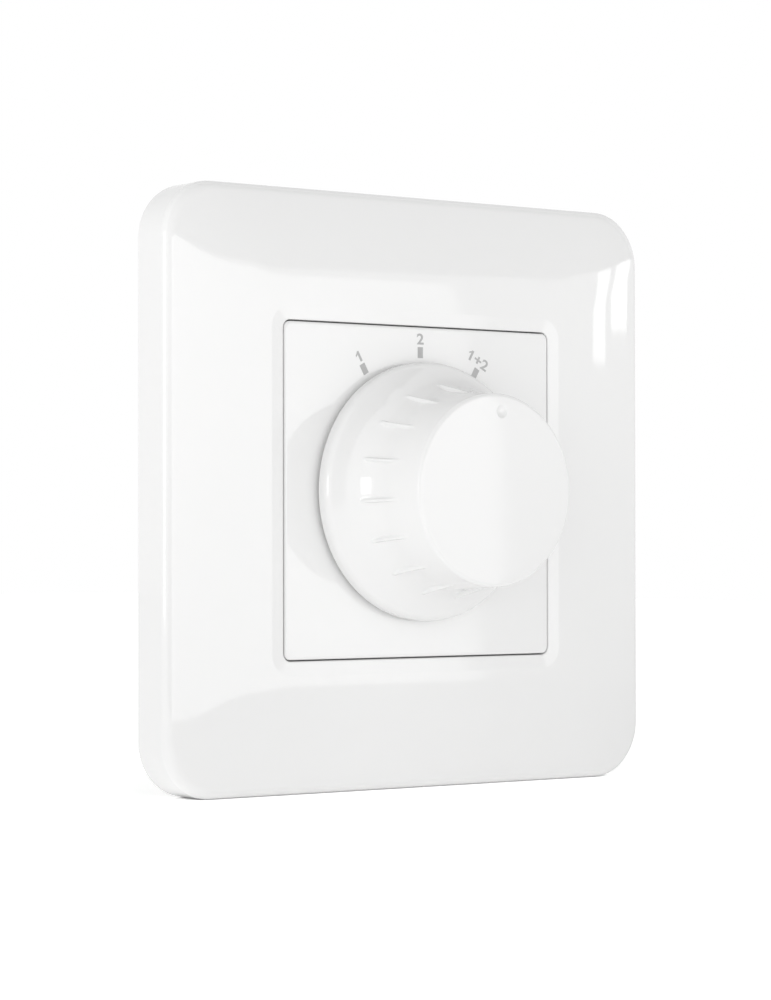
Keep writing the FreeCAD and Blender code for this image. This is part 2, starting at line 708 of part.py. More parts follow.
# Index housing: moulded ring with the stops' window and the spring's pocket
index = new_body("index_housing")
index_outline = new_sketch(index, "outline", BASE_FRONT)
draw_square(index_outline, "switch_side / 2", "switch_corner")
pad(index_outline, "index_depth", "block")
drill(index, "well", "wheel_radius + wheel_gap", BASE_FRONT, INDEX_FRONT)
window = new_sketch(index, "window", INDEX_FRONT)
window_half_angle = "(stop_half_angle + knob_throw + stop_gap_angle)"
draw_sector(window, "(wheel_radius - wheel_gap)", "(stop_radius + wheel_gap)",
            f"(180 - {window_half_angle})", f"(180 + {window_half_angle})")
pocket(window, "index_depth", "window_cut")
slot_half_height = "(spring_leaf + spring_pocket) / 2"
pocket_sketch = new_sketch(index, "spring_pocket", INDEX_FRONT)
draw_rectangle(pocket_sketch, "-(spring_reach + spring_pocket)", "(spring_reach + spring_pocket)",
               f"spring_height - {slot_half_height}", f"spring_height + {slot_half_height}")
pocket(pocket_sketch, "index_depth", "spring_pocket_cut")
nose_window = new_sketch(index, "nose_window", INDEX_FRONT)
nose_room = "(nose_radius + spring_pocket)"
draw_rectangle(nose_window, f"-{nose_room}", nose_room, "wheel_radius - wheel_gap",
               "spring_height + nose_radius")
pocket(nose_window, "index_depth", "nose_window_cut")
clamp_hole = drill(index, "clamp_hole", "switch_screw_radius + bracket_hole_gap", BASE_FRONT,
                   INDEX_FRONT, "clamp_screw_offset", "clamp_screw_offset")
repeat(index, "clamp_holes", [clamp_hole], [("Polar", "2", "360")])

# Index spring: straight steel leaf with a round nose that drops into a notch
leaf = new_body("index_spring")
leaf_low = "(spring_height - spring_leaf / 2)"
leaf_high = "(spring_height + spring_leaf / 2)"
leaf_sketch = new_sketch(leaf, "blade", WHEEL_BACK)
draw_rectangle(leaf_sketch, "-spring_reach", "spring_reach", leaf_low, leaf_high)
pad(leaf_sketch, wheel_depth, "blade_pad")
disc(leaf, "nose", "nose_radius", WHEEL_BACK, WHEEL_FRONT, "0", "notch_centre")
nose_fill = new_sketch(leaf, "nose_fill", WHEEL_BACK)
draw_rectangle(nose_fill, "-nose_radius", "nose_radius", "notch_centre", leaf_high)
pad(nose_fill, wheel_depth, "nose_fill_pad")
nose_hollow = new_sketch(leaf, "nose_hollow", WHEEL_FRONT)
nose_inner = "(nose_radius - spring_leaf)"
draw_rectangle(nose_hollow, f"-{nose_inner}", nose_inner, "notch_centre",
               "spring_height + spring_leaf")
pocket(nose_hollow, wheel_depth, "nose_hollow_cut")
drill(leaf, "nose_bend", nose_inner, WHEEL_BACK, WHEEL_FRONT, "0", "notch_centre")

# Rotor: moulded disc on the shaft's drive flats, with the moving contacts on its back
rotor = new_body("rotor")
disc(rotor, "disc", "rotor_radius", ROTOR_BACK, ROTOR_FRONT)
disc(rotor, "hub", "rotor_hub_radius", ROTOR_FRONT, f"({WHEEL_BACK} - end_gap)")
rotor_bore = new_sketch(rotor, "bore", f"({WHEEL_BACK} - end_gap)")
draw_drive(rotor_bore, "drive_gap")
pocket(rotor_bore, f"{WHEEL_BACK} - end_gap - {ROTOR_BACK}", "bore_cut")

# Moving contacts: one plated track for each channel. The outer part of a track is open
# where an output must be off, and the inner part always meets the common contact.
tracks = new_body("moving_contacts")
track_start = "(0 - knob_throw * 2 - stop_half_angle / 2)"
track_end = "(knob_throw + stop_half_angle / 2)"
track = new_sketch(tracks, "track", TRACK_BACK)
draw_sector(track, "track_inner", "track_outer", track_start, track_end)
track_pad = pad(track, "track_thickness", "track_pad")
gap = new_sketch(tracks, "gap", ROTOR_BACK)
draw_sector(gap, "track_step", "(track_outer * 2)", "(0 - knob_throw - stop_half_angle / 2)",
            "(0 - knob_throw + stop_half_angle / 2)")
gap_cut = pocket(gap, "track_thickness", "gap_cut")
repeat(tracks, "channels", [track_pad, gap_cut], [("Polar", "2", "360")])

# Switch base: moulded cup round the rotor, with the shaft's rear bearing
base = new_body("switch_base")
base_outline = new_sketch(base, "outline", BASE_BACK)
draw_square(base_outline, "switch_side / 2", "switch_corner")
pad(base_outline, "base_depth", "block")
drill(base, "cup", "rotor_radius + rotor_gap", f"({BASE_BACK} + base_wall)", BASE_FRONT)
drill(base, "bearing", "journal_radius + shaft_gap", BASE_BACK, f"({BASE_BACK} + base_wall)")
base_screw_holes = [
    drill(base, "clamp_hole", "switch_screw_radius + bracket_hole_gap", BASE_BACK, BASE_FRONT,
          "clamp_screw_offset", "clamp_screw_offset"),
    drill(base, "head_well", "switch_head_radius + bracket_hole_gap", BASE_BACK,
          f"({BASE_BACK} + switch_head_height)", "clamp_screw_offset", "clamp_screw_offset"),
]
repeat(base, "clamp_holes", base_screw_holes, [("Polar", "2", "360")])

# Fixed contacts: for each channel a common contact and two outputs, with solder pins
contact_places = [("common", "common_offset", "0"), ("first", "output_offset", "(0 - knob_throw)"),
                  ("second", "output_offset", "knob_throw")]
contacts = new_body("fixed_contacts")
contact_pads = []
pin_back = f"({BOARD_BACK} - solder_length)"
for name, reach, angle in contact_places:
    place = (f"{reach} * sin({angle})", f"{reach} * cos({angle})")
    contact_pads.append(disc(contacts, f"{name}_head", "contact_radius", CONTACT_BACK, TRACK_BACK,
                             *place))
    contact_pads.append(disc(contacts, f"{name}_pin", "contact_pin", pin_back, CONTACT_BACK,
                             *place))
repeat(contacts, "channels", contact_pads, [("Polar", "2", "360")])
base_pin_holes = [
    drill(base, f"{name}_hole", "contact_pin + pin_gap", BASE_BACK, f"({BASE_BACK} + base_wall)",
          f"{reach} * sin({angle})", f"{reach} * cos({angle})")
    for name, reach, angle in contact_places
]
repeat(base, "pin_holes", base_pin_holes, [("Polar", "2", "360")])

# Switch screws: from the back of the base into the tapped front plate
clamps = new_body("switch_screws")
screw_head_front = f"({BASE_BACK} + switch_head_height)"
clamp_parts = [
    disc(clamps, "head", "switch_head_radius", BASE_BACK, screw_head_front, "clamp_screw_offset",
         "clamp_screw_offset"),
    disc(clamps, "shank", "switch_screw_radius", screw_head_front, "0", "clamp_screw_offset",
         "clamp_screw_offset"),
]
repeat(clamps, "pair", clamp_parts, [("Polar", "2", "360")])

# Circuit board: joins the switch's pins to the three terminal blocks
board = new_body("circuit_board")
board_half = f"({HOUSING_INNER} - board_edge_gap)"
boss_room = "(boss_radius + board_boss_gap)"
bevel_start = f"(2 * {BOSS_OFFSET} - {board_half} - {boss_room} * sqrt(2))"
board_outline = new_sketch(board, "outline", BOARD_BACK)
draw_outline(board_outline, [
    (bevel_start, f"-{board_half}"), (board_half, f"-{bevel_start}"), (board_half, bevel_start),
    (bevel_start, board_half), (f"-{bevel_start}", board_half), (f"-{board_half}", bevel_start),
    (f"-{board_half}", f"-{bevel_start}"), (f"-{bevel_start}", f"-{board_half}"),
])
pad(board_outline, "board_thickness", "laminate")
switch_pin_holes = [
    drill(board, f"{name}_hole", "contact_pin + pin_gap", BOARD_BACK, BOARD_FRONT,
          f"{reach} * sin({angle})", f"{reach} * cos({angle})")
    for name, reach, angle in contact_places
]
repeat(board, "switch_pin_holes", switch_pin_holes, [("Polar", "2", "360")])
pole_row = ("Linear", "pole_count", "pole_pitch * (pole_count - 1)")
three_sides = ("Polar", "3", "180")
terminal_pin_hole = drill(board, "terminal_pin_hole", "terminal_pin + pin_gap", BOARD_BACK,
                          BOARD_FRONT, f"-{POLE_START}", TERMINAL_LINE)
repeat(board, "terminal_pin_holes", [terminal_pin_hole], [pole_row, three_sides])

# Terminal blocks: four poles each, for the amplifier and for the two pairs of speakers
cage_half = "(cage_width / 2)"
for label, turn in (("pair_1_terminals", 0), ("amplifier_terminals", 90), ("pair_2_terminals", 180)):
    block = new_body(label)
    block_outline = new_sketch(block, "outline", BLOCK_BACK)
    draw_rectangle(block_outline, f"-{BLOCK_HALF}", BLOCK_HALF, BLOCK_INNER, BLOCK_OUTER)
    pad(block_outline, "block_depth", "moulding")
    channel = new_sketch(block, "channel", f"{CAGE_BACK} - cage_back_gap")
    draw_rectangle(channel, f"-{POLE_START} - {cage_half} - cage_gap",
                   f"-{POLE_START} + {cage_half} + cage_gap", f"{CAGE_INNER} - cage_gap",
                   f"({BLOCK_OUTER} * 2)")
    pole_cuts = [
        pocket(channel, "cage_depth + cage_front_gap + cage_back_gap", "channel_cut", back=True),
        drill(block, "screw_well", "terminal_head_radius + terminal_well_gap", BLOCK_BACK,
              f"({CAGE_BACK} - cage_back_gap)", f"-{POLE_START}", TERMINAL_LINE),
        drill(block, "pin_hole", "terminal_pin + pin_gap", f"({BOARD_BACK} - block_floor)",
              BOARD_BACK, f"-{POLE_START}", TERMINAL_LINE),
    ]
    repeat(block, "poles", pole_cuts, [pole_row])
    block.Placement = FreeCAD.Placement(Vector(), FreeCAD.Rotation(Vector(0, 1, 0), turn))

# Terminal clamps: square cages that lift against the wire, each on its board pin
cages = new_body("terminal_clamps")
cage_outline = new_sketch(cages, "outline", CAGE_BACK)
draw_rectangle(cage_outline, f"-{POLE_START} - {cage_half}", f"-{POLE_START} + {cage_half}",
               CAGE_INNER, CAGE_OUTER)
cage_room = new_sketch(cages, "room", f"{CAGE_BACK} + cage_wall * 2")
draw_rectangle(cage_room, f"-{POLE_START} - {cage_half} + cage_wall",
               f"-{POLE_START} + {cage_half} - cage_wall", f"{CAGE_INNER} / 2",
               f"{CAGE_OUTER} * 2")
cage_parts = [
    pad(cage_outline, "cage_depth", "block"),
    pocket(cage_room, "cage_depth - cage_wall * 3", "room_cut", back=True),
    drill(cages, "screw_hole", "terminal_screw_radius + thread_gap", CAGE_BACK,
          f"({CAGE_BACK} + cage_wall * 2)", f"-{POLE_START}", TERMINAL_LINE),
    disc(cages, "pin", "terminal_pin", CAGE_FRONT, f"({BASE_BACK} - end_gap)",
         f"-{POLE_START}", TERMINAL_LINE),
]
repeat(cages, "set", cage_parts, [pole_row, three_sides])

# Terminal screws: slotted heads in the blocks' wells, reached through the rear housing
screws = new_body("terminal_screws")
head_back = f"({CAGE_BACK} - terminal_head_height)"
screw_slot = new_sketch(screws, "slot", f"{head_back} + terminal_slot")
draw_rectangle(screw_slot, f"-{POLE_START} - terminal_head_radius * 2",
               f"-{POLE_START} + terminal_head_radius * 2", f"{TERMINAL_LINE} - terminal_slot / 2",
               f"{TERMINAL_LINE} + terminal_slot / 2")
screw_parts = [
    disc(screws, "head", "terminal_head_radius", head_back, CAGE_BACK, f"-{POLE_START}",
         TERMINAL_LINE),
    disc(screws, "shank", "terminal_screw_radius", CAGE_BACK,
         f"({CAGE_BACK} + terminal_screw_length)", f"-{POLE_START}", TERMINAL_LINE),
    pocket(screw_slot, "terminal_slot", "slot_cut"),
]
repeat(screws, "set", screw_parts, [pole_row, three_sides])

# Rear housing: moulded cup over the mechanism, screwed to the bracket's back
housing = new_body("rear_housing")
housing_half = "(housing_side / 2)"
housing_outline = new_sketch(housing, "outline", HOUSING_BACK)
draw_square(housing_outline, housing_half, "housing_corner")
pad(housing_outline, f"0 - {HOUSING_BACK}", "cup")
housing_room = new_sketch(housing, "room")
draw_square(housing_room, HOUSING_INNER, "(housing_corner - housing_wall)")
pocket(housing_room, f"0 - {HOUSING_BACK} - housing_wall", "room_cut")
boss = disc(housing, "boss", "boss_radius", f"({HOUSING_BACK} + housing_wall / 2)", "0",
            BOSS_OFFSET, BOSS_OFFSET)
repeat(housing, "bosses", [boss], [("Polar", "4", "360")])
boss_hole = drill(housing, "boss_hole", "housing_screw_radius + thread_gap",
                  "(0 - housing_screw_length - end_gap)", "0", BOSS_OFFSET, BOSS_OFFSET)
repeat(housing, "boss_holes", [boss_hole], [("Polar", "4", "360")])
tool_hole = drill(housing, "tool_hole", "tool_hole_radius", HOUSING_BACK,
                  f"({HOUSING_BACK} + housing_wall)", f"-{POLE_START}", TERMINAL_LINE)
repeat(housing, "tool_holes", [tool_hole], [pole_row, three_sides])
wire_hole = new_sketch(housing, "wire_hole", f"({housing_half} + housing_wall)", "XY_Plane")
draw_circle(wire_hole, "wire_hole_radius", f"-{POLE_START}", f"-({CAGE_FRONT} + {CAGE_BACK}) / 2")
wire_cut = pocket(wire_hole, "housing_wall * 2.5", "wire_cut")
repeat(housing, "wire_holes", [wire_cut], [pole_row, three_sides])

# Housing screws: through the bracket into the housing's bosses
fixings = new_body("housing_screws")
fixing_parts = [
    disc(fixings, "head", "housing_head_radius", "bracket_thickness",
         "(bracket_thickness + housing_head_height)", BOSS_OFFSET, BOSS_OFFSET),
    disc(fixings, "shank", "housing_screw_radius", "(0 - housing_screw_length)",
         "bracket_thickness", BOSS_OFFSET, BOSS_OFFSET),
]
repeat(fixings, "set", fixing_parts, [("Polar", "4", "360")])

# Check every object, then write each sub-part to a file named after its node
document.recompute()
for item in document.Objects:
    if "Invalid" in item.State or "Error" in item.State:
        raise ValueError(f"{item.Label} did not compute: {item.State}")
os.makedirs("parts", exist_ok=True)
for item in document.Objects:
    if item.TypeId != "PartDesign::Body":
        continue
    if item.Shape.isNull() or not item.Shape.isValid():
        raise ValueError(f"{item.Label} has no valid shape")
    item.Shape.exportStep(f"parts/{item.Label}.step")
    print(item.Label, len(item.Shape.Solids), round(item.Shape.Volume, 2))
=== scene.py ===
import bpy
import bmesh
import math
import numpy as np
from mathutils import Matrix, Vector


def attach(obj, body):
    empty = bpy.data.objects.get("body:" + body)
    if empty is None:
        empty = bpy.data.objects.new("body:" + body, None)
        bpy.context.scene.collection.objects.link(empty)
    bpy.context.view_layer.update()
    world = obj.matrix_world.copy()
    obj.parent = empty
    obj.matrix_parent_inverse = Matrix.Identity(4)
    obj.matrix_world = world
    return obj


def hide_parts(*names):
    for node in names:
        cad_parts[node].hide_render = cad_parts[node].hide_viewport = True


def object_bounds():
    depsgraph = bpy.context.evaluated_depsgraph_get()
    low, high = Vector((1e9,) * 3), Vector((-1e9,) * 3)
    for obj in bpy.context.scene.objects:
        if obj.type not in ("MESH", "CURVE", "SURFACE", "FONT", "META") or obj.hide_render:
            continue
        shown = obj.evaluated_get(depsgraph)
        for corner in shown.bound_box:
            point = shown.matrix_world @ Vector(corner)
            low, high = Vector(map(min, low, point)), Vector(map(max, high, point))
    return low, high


# Speaker selector switch for a flush wall box, standing on its bottom edge. Metres, with X to
# the right, Z up and the room towards -Y. The sections follow the switch as it is put together.
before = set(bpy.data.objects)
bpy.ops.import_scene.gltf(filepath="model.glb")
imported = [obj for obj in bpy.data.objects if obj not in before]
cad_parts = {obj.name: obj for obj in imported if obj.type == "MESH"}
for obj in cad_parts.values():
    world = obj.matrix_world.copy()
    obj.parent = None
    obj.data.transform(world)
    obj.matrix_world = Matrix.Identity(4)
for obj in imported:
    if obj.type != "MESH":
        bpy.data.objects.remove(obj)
cad_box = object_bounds()


# Switch front: a zinc die casting, the threaded bush and its square plate in one piece. It
# comes out of the die with a satin skin that is faintly mottled where the metal chilled.
class Socket:
    """A socket of a finish. Arithmetic on it adds Math nodes, so a mask reads as a formula."""

    def __init__(self, finish, end):
        self.finish = finish
        self.end = end

    def math(self, operation, first, second):
        return self.finish.node("ShaderNodeMath", {"operation": operation}, {0: first, 1: second})

    def __add__(self, other):
        return self.math("ADD", self, other)

    def __sub__(self, other):
        return self.math("SUBTRACT", self, other)

    def __rsub__(self, other):
        return self.math("SUBTRACT", other, self)

    def __mul__(self, other):
        return self.math("MULTIPLY", self, other)

    __radd__ = __add__
    __rmul__ = __mul__


class Finish:
    """The node tree of one finish, for a material or for the studio's world."""

    def __init__(self, holder):
        holder.use_nodes = True
        self.holder = holder
        self.tree = holder.node_tree
        self.tree.nodes.clear()

    def node(self, kind, settings=None, sockets=None, output=0):
        """Add a node from its type, its settings, which are set first, and the values or
        links of its sockets by name or number. Gives the wanted output."""
        made = self.tree.nodes.new(kind)
        for name, setting in (settings or {}).items():
            if name == "stops":
                while len(made.color_ramp.elements) < len(setting):
                    made.color_ramp.elements.new(1.0)
                for element, (position, shade) in zip(made.color_ramp.elements, setting):
                    element.position = position
                    element.color = (shade, shade, shade, 1.0)
            else:
                setattr(made, name, setting)
        for name, given in (sockets or {}).items():
            if isinstance(given, Socket):
                self.tree.links.new(given.end, made.inputs[name])
            else:
                made.inputs[name].default_value = given
        return Socket(self, made.outputs[output]) if made.outputs else made

    def place(self, stretch=(1.0, 1.0, 1.0)):
        """Object coordinates, stretched along the axes."""
        spot = self.node("ShaderNodeTexCoord", output="Object")
        return self.node("ShaderNodeMapping", {"vector_type": "POINT"},
                         {"Vector": spot, "Scale": stretch})

    def noise(self, scale, detail=2.0, stretch=(1.0, 1.0, 1.0)):
        """Smooth noise with that many waves to the metre, about 0.5 on average."""
        return self.node("ShaderNodeTexNoise", None,
                         {"Vector": self.place(stretch), "Scale": scale, "Detail": detail})

    def levels(self, value, stops):
        """A value spread over grey stops of (position, shade)."""
        return self.node("ShaderNodeValToRGB", {"stops": stops}, {0: value})

    def blend(self, share, first, second):
        """Two colours mixed by a share."""
        return self.node("ShaderNodeMix", {"data_type": "RGBA"},
                         {0: share, 6: first, 7: second}, 2)

    def bump(self, height, depth, under=None):
        """A normal from a height field whose full stroke is depth, in metres."""
        sockets = {"Height": height, "Distance": depth, "Strength": 1.0}
        if under:
            sockets["Normal"] = under
        return self.node("ShaderNodeBump", None, sockets)

    def surface(self, colour, roughness, normal, **constants):
        """Close the finish with a Principled shader; constants sit on its own sockets."""
        sockets = {"Base Color": colour, "Roughness": roughness, "Normal": normal}
        for name, number in constants.items():
            sockets[name.replace("_", " ")] = number
        shader = self.node("ShaderNodeBsdfPrincipled", None, sockets)
        self.node("ShaderNodeOutputMaterial", None, {"Surface": shader})
        return self.holder


def dress(finish, *nodes):
    """Put a finish in every material slot of CAD nodes."""
    for node in nodes:
        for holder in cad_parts[node].material_slots:
            holder.link = "OBJECT"
            holder.material = finish


def die_casting():
    """Satin zinc: cool grey, clouded in patches, with the die's fine grain."""
    finish = Finish(bpy.data.materials.new("die_cast_zinc"))
    cloud = finish.noise(420.0, 4.0)
    grain = finish.noise(5200.0)
    colour = finish.blend(cloud, (0.36, 0.37, 0.39, 1), (0.62, 0.63, 0.64, 1))
    return finish.surface(colour, 0.3 + cloud * 0.2, finish.bump(grain, 0.00002), Metallic=1.0)


dress(die_casting(), "switch_bush")


# Shaft: free-cutting steel, turned in a lathe, so fine rings run round it. The flat for the
# knob is milled afterwards.
def turned_steel():
    """Bright steel with tool rings along the shaft's axis."""
    finish = Finish(bpy.data.materials.new("turned_steel"))
    rings = finish.noise(5000.0, 3.0, (0.02, 1.0, 0.02))
    stain = finish.noise(300.0, 3.0)
    colour = finish.blend(stain, (0.5, 0.5, 0.49, 1), (0.66, 0.66, 0.65, 1))
    return finish.surface(colour, 0.18 + rings * 0.18, finish.bump(rings, 0.000015), Metallic=1.0)


dress(turned_steel(), "shaft")


# Springs and ring: the index spring, the knob's band and the shaft's retaining ring are
# stamped from hardened strip, tempered to a blue-grey.
def spring_strip():
    """Tempered strip: blue-grey that turns straw in patches, with rolling lines."""
    finish = Finish(bpy.data.materials.new("tempered_strip"))
    temper = finish.noise(260.0, 2.0)
    rolling = finish.noise(3800.0, 2.0, (0.05, 1.0, 1.0))
    colour = finish.blend(temper, (0.2, 0.22, 0.28, 1), (0.46, 0.42, 0.36, 1))
    return finish.surface(colour, 0.22 + rolling * 0.2, finish.bump(rolling, 0.00001), Metallic=1.0)


dress(spring_strip(), "shaft_ring", "index_spring", "knob_spring")


# Index wheel and rotor: moulded in natural acetal, which slides dry and needs no grease. It
# is a milky white with slow flow lines from the gate.
def natural_acetal():
    """Milky moulding with flow lines and a waxy sheen."""
    finish = Finish(bpy.data.materials.new("natural_acetal"))
    flow = finish.noise(350.0, 3.0, (1.0, 0.3, 1.0))
    skin = finish.noise(3500.0)
    colour = finish.blend(flow, (0.72, 0.7, 0.62, 1), (0.84, 0.83, 0.78, 1))
    return finish.surface(colour, 0.34 + skin * 0.14, finish.bump(skin, 0.000012), IOR=1.48)


dress(natural_acetal(), "index_wheel", "rotor")


# Index housing and switch base: moulded in black glass-filled plastic. Glass near the skin
# makes it dull and a little streaked.
def glass_filled():
    """Near-black moulding with pale streaks of glass and a dry surface."""
    finish = Finish(bpy.data.materials.new("glass_filled_black"))
    streak = finish.levels(finish.noise(2400.0, 4.0, (1.0, 0.25, 1.0)), [(0.45, 0.0), (0.75, 1.0)])
    skin = finish.noise(5200.0)
    colour = finish.blend(streak, (0.018, 0.018, 0.02, 1), (0.06, 0.06, 0.062, 1))
    return finish.surface(colour, 0.42 + skin * 0.2, finish.bump(skin, 0.00002), IOR=1.52)


dress(glass_filled(), "index_housing", "switch_base")


# Contacts: the rotor's tracks and the fixed rivets are brass, silver-plated, with a little
# tarnish where they aren't wiped.
def silver_plate():
    """Warm silver with brown tarnish in thin clouds."""
    finish = Finish(bpy.data.materials.new("silver_plated_brass"))
    tarnish = finish.levels(finish.noise(700.0, 4.0), [(0.5, 0.0), (0.8, 1.0)])
    wiping = finish.noise(6000.0, 2.0)
    colour = finish.blend(tarnish, (0.82, 0.8, 0.72, 1), (0.46, 0.36, 0.2, 1))
    return finish.surface(colour, 0.2 + wiping * 0.16, finish.bump(wiping, 0.00001), Metallic=1.0)


dress(silver_plate(), "moving_contacts", "fixed_contacts")


# Screws: cold-headed steel, zinc-plated and passivated, so the grey leans blue or yellow.
def plated_screw():
    """Zinc plate with faint blue and straw patches and a fine drawn grain."""
    finish = Finish(bpy.data.materials.new("plated_screw_steel"))
    tint = finish.noise(600.0, 2.0)
    grain = finish.noise(7000.0, 2.0)
    colour = finish.blend(tint, (0.5, 0.54, 0.6, 1), (0.68, 0.65, 0.55, 1))
    return finish.surface(colour, 0.24 + grain * 0.16, finish.bump(grain, 0.00001), Metallic=1.0)


dress(plated_screw(), "switch_screws", "terminal_screws", "housing_screws")


# Circuit board: glass laminate under green solder resist, through which the weave shows.
def resist_board():
    """Green resist over a woven glass base: two crossed wave patterns make the weave."""
    finish = Finish(bpy.data.materials.new("green_resist_laminate"))
    weave = [finish.node("ShaderNodeTexWave", {"wave_type": "BANDS", "bands_direction": axis},
                         {"Vector": finish.place(), "Scale": 500.0, "Distortion": 0.6}, "Fac")
             for axis in ("X", "Z")]
    cloth = (weave[0] + weave[1]) * 0.5
    haze = finish.noise(200.0, 2.0)
    colour = finish.blend(cloth * 0.6 + haze * 0.4, (0.02, 0.12, 0.05, 1), (0.05, 0.22, 0.09, 1))
    return finish.surface(colour, 0.2 + haze * 0.12, finish.bump(cloth, 0.00002), IOR=1.5)


dress(resist_board(), "circuit_board")


# Terminal blocks: green moulding, soldered to the board in three rows of four poles.
def green_moulding():
    """Green moulding with an eroded, slightly sparkling skin."""
    finish = Finish(bpy.data.materials.new("green_moulding"))
    cloud = finish.noise(300.0, 2.0)
    spark = finish.noise(4200.0, 2.0)
    colour = finish.blend(cloud, (0.045, 0.2, 0.1, 1), (0.075, 0.29, 0.15, 1))
    return finish.surface(colour, 0.36 + spark * 0.16, finish.bump(spark, 0.00003), IOR=1.5)


dress(green_moulding(), "amplifier_terminals", "pair_1_terminals", "pair_2_terminals")


# Terminal clamps: folded steel cages, nickel-plated in a barrel, so they are lightly scuffed.
def nickel_cage():
    """Warm nickel with short scuffs."""
    finish = Finish(bpy.data.materials.new("nickel_plated_steel"))
    scuff = finish.noise(5000.0, 3.0, (1.0, 0.15, 1.0))
    cloud = finish.noise(500.0, 2.0)
    colour = finish.blend(cloud, (0.56, 0.54, 0.49, 1), (0.72, 0.7, 0.65, 1))
    return finish.surface(colour, 0.2 + scuff * 0.22, finish.bump(scuff, 0.00001), Metallic=1.0)


dress(nickel_cage(), "terminal_clamps")


# Rear housing: moulded cup in light grey, with a spark-eroded skin outside and a round hole
# for each wire and each screwdriver.
def eroded_grey():
    """Light grey moulding, lightly clouded, with the eroded mould's fine orange-peel."""
    finish = Finish(bpy.data.materials.new("light_grey_moulding"))
    cloud = finish.noise(160.0, 3.0)
    peel = finish.noise(2200.0, 3.0)
    fine = finish.noise(9000.0)
    colour = finish.blend(cloud, (0.5, 0.5, 0.48, 1), (0.58, 0.58, 0.56, 1))
    normal = finish.bump(fine, 0.000015, finish.bump(peel, 0.00004))
    return finish.surface(colour, 0.42 + peel * 0.16, normal, IOR=1.5)


dress(eroded_grey(), "rear_housing")


# Support bracket and lock washer: blanked from zinc-plated sheet steel. The sheet is rolled,
# and handling leaves fine scratches and bluish clouds in the passivation.
def zinc_sheet():
    """Zinc plate on rolled sheet: rolling lines along X, clouds, and crossing scratches."""
    finish = Finish(bpy.data.materials.new("zinc_plated_sheet"))
    rolling = finish.noise(2600.0, 3.0, (0.04, 1.0, 1.0))
    cloud = finish.noise(90.0, 4.0)
    scratch = finish.levels(finish.noise(1500.0, 2.0, (1.0, 1.0, 0.03)), [(0.68, 0.0), (0.74, 1.0)])
    colour = finish.blend(cloud, (0.5, 0.53, 0.58, 1), (0.68, 0.68, 0.64, 1))
    roughness = 0.26 + rolling * 0.14 + scratch * 0.12
    return finish.surface(colour, roughness, finish.bump(rolling - scratch, 0.000012), Metallic=1.0)


dress(zinc_sheet(), "support_bracket", "lock_washer")


# Bush nuts: hexagon brass nuts, nickel-plated. One clamps the switch to the bracket and one
# holds the centre plate and frame on the bush.
def nickel_brass():
    """Warm nickel over brass, with the bar's drawing lines along the axis."""
    finish = Finish(bpy.data.materials.new("nickel_plated_brass"))
    drawing = finish.noise(4200.0, 2.0, (1.0, 0.04, 1.0))
    cloud = finish.noise(400.0, 2.0)
    colour = finish.blend(cloud, (0.62, 0.57, 0.46, 1), (0.74, 0.7, 0.6, 1))
    normal = finish.bump(drawing, 0.00001)
    return finish.surface(colour, 0.18 + drawing * 0.16, normal, Metallic=1.0)


dress(nickel_brass(), "bush_nuts")


# Outer frame: one white gloss moulding, domed in front and hollow behind, with eight ribs that
# centre it on the bracket. It has no screw of its own: the centre plate holds it by its lip.
def gloss_white(name, shade):
    """Polished white moulding: an even colour with the faintest clouding, a slow orange-peel
    from the mould's polish, and hairline wear that only changes the gloss."""
    finish = Finish(bpy.data.materials.new(name))
    cloud = finish.noise(55.0, 2.0)
    peel = finish.noise(240.0, 2.0)
    wear = finish.levels(finish.noise(2600.0, 3.0), [(0.5, 0.0), (0.9, 1.0)])
    dark, light = shade - 0.006, shade + 0.006
    colour = finish.blend(cloud, (dark, dark, dark * 0.995, 1), (light, light, light * 0.997, 1))
    return finish.surface(colour, 0.035 + wear * 0.04, finish.bump(peel, 0.000003), IOR=1.52)


def carry_round(profile, per_corner=22, per_side=12):
    """Carry a profile of (half width, height, corner radius) round a rounded square about the
    Y axis. A quarter is the arc x = f + c cos a, z = f + c sin a with f = half - corner, and
    then a straight side. Where the corner is as large as the half width the outline is a
    circle, with its points at the polar angles of the widest outline."""
    half, height, corner = (column[:, None] for column in np.asarray(profile).T)
    turn = np.linspace(0, math.pi / 2, per_corner)
    side = np.linspace(1, -1, per_side + 2)[1:-1]
    flat = half - corner
    x = np.hstack([flat + corner * np.cos(turn), flat * side])
    z = np.hstack([flat + corner * np.sin(turn), np.repeat(half, per_side, axis=1)])
    widest = int(np.argmax(half))
    angle = np.arctan2(z[widest], x[widest])
    round_row = corner > half * 0.999
    x = np.where(round_row, half * np.cos(angle), x)
    z = np.where(round_row, half * np.sin(angle), z)
    x, z = np.hstack([x, -z, -x, z]), np.hstack([z, x, -z, -x])
    y = np.repeat(-height, x.shape[1], axis=1)
    return np.stack([x, y, z], axis=-1)


